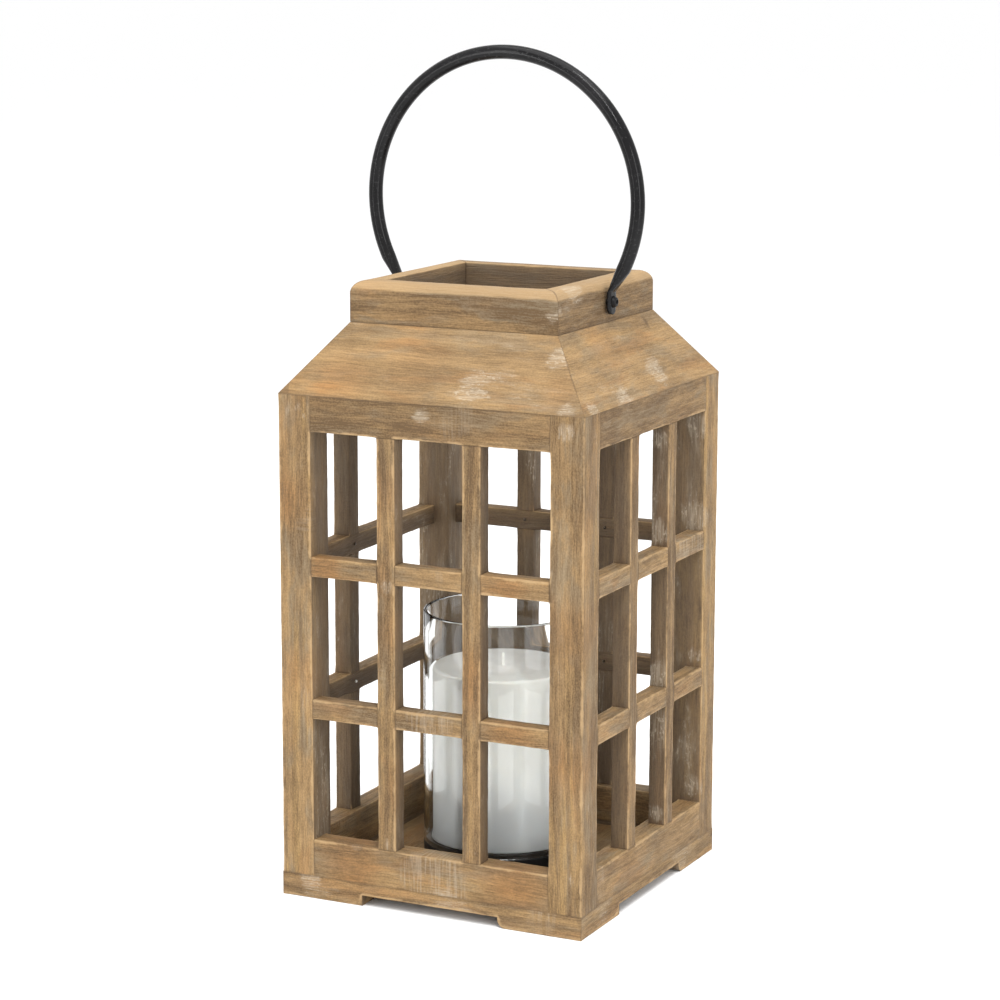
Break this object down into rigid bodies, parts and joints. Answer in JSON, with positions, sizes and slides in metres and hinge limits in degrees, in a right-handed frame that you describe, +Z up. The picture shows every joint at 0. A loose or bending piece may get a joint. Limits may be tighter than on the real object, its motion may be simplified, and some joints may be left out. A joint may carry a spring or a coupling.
{
  "type": "hanging lantern",
  "caption": "Square wooden candle lantern with glazing-bar sides, sloping hipped top, open square collar, swinging round-rod bail and a pillar candle in a glass chimney.",
  "frame": {"origin": "middle of the square footprint, on the plane that the feet stand on", "axes": "+Z up; the bail swings about the X axis, and -Y is the front"},
  "size_m": [0.175, 0.175, 0.4474],
  "materials": {
    "post_wood": "weathered, brushed and whitewashed softwood, grain upright",
    "rail_wood": "weathered, brushed and whitewashed softwood, grain level",
    "bar_wood": "weathered, brushed and whitewashed softwood, worn arrises",
    "roof_wood": "weathered softwood with pale rubbed patches",
    "collar_wood": "weathered softwood with a lighter rounded top",
    "base_wood": "weathered softwood, rubbed pale along the edges",
    "floor_wood": "stained softwood board",
    "pin_steel": "bright cut wire",
    "screw_steel": "zinc-plated",
    "plate_black": "satin black paint",
    "screw_black": "satin black paint",
    "bail_black": "satin black paint with a soft highlight",
    "clear_glass": "clear drawn tube, fire-polished rim",
    "candle_wax": "smooth white wax, slightly translucent",
    "wick_cotton": "braided cotton"
  },
  "bodies": {
    "lantern": {"post_front_right": "post_wood", "post_back_right": "post_wood", "post_back_left": "post_wood", "post_front_left": "post_wood", "base_strip_front": "base_wood", "base_strip_right": "base_wood", "base_strip_back": "base_wood", "base_strip_left": "base_wood", "bottom_rail_front": "rail_wood", "bottom_rail_right": "rail_wood", "bottom_rail_back": "rail_wood", "bottom_rail_left": "rail_wood", "top_rail_front": "rail_wood", "top_rail_right": "rail_wood", "top_rail_back": "rail_wood", "top_rail_left": "rail_wood", "upright_bar_front_left": "bar_wood", "upright_bar_front_right": "bar_wood", "upright_bar_right_left": "bar_wood", "upright_bar_right_right": "bar_wood", "upright_bar_back_left": "bar_wood", "upright_bar_back_right": "bar_wood", "upright_bar_left_left": "bar_wood", "upright_bar_left_right": "bar_wood", "cross_bar_front_lower": "bar_wood", "cross_bar_front_upper": "bar_wood", "cross_bar_right_lower": "bar_wood", "cross_bar_right_upper": "bar_wood", "cross_bar_back_lower": "bar_wood", "cross_bar_back_upper": "bar_wood", "cross_bar_left_lower": "bar_wood", "cross_bar_left_upper": "bar_wood", "roof_board_front": "roof_wood", "roof_board_right": "roof_wood", "roof_board_back": "roof_wood", "roof_board_left": "roof_wood", "collar_board_front": "collar_wood", "collar_board_right": "collar_wood", "collar_board_back": "collar_wood", "collar_board_left": "collar_wood", "bar_pins": "pin_steel", "floor_board": "floor_wood", "candle_plate": "plate_black", "plate_screw": "screw_steel", "pivot_screw_left": "screw_black", "pivot_screw_right": "screw_black"},
    "bail": {"bail": "bail_black"},
    "chimney": {"glass_chimney": "clear_glass"},
    "candle": {"candle": "candle_wax", "wick": "wick_cotton"}
  },
  "joints": [
    {"name": "bail_swing", "type": "hinge", "parent": "lantern", "child": "bail", "pos_m": [0, 0, 0.3165], "axis": [1, 0, 0], "range_deg": [-105, 105]},
    {"name": "glass_lift", "type": "slide", "parent": "lantern", "child": "chimney", "axis": [0, 0, 1], "range_m": [0, 0.27]},
    {"name": "candle_lift", "type": "slide", "parent": "lantern", "child": "candle", "axis": [0, 0, 1], "range_m": [0, 0.3]}
  ]
}
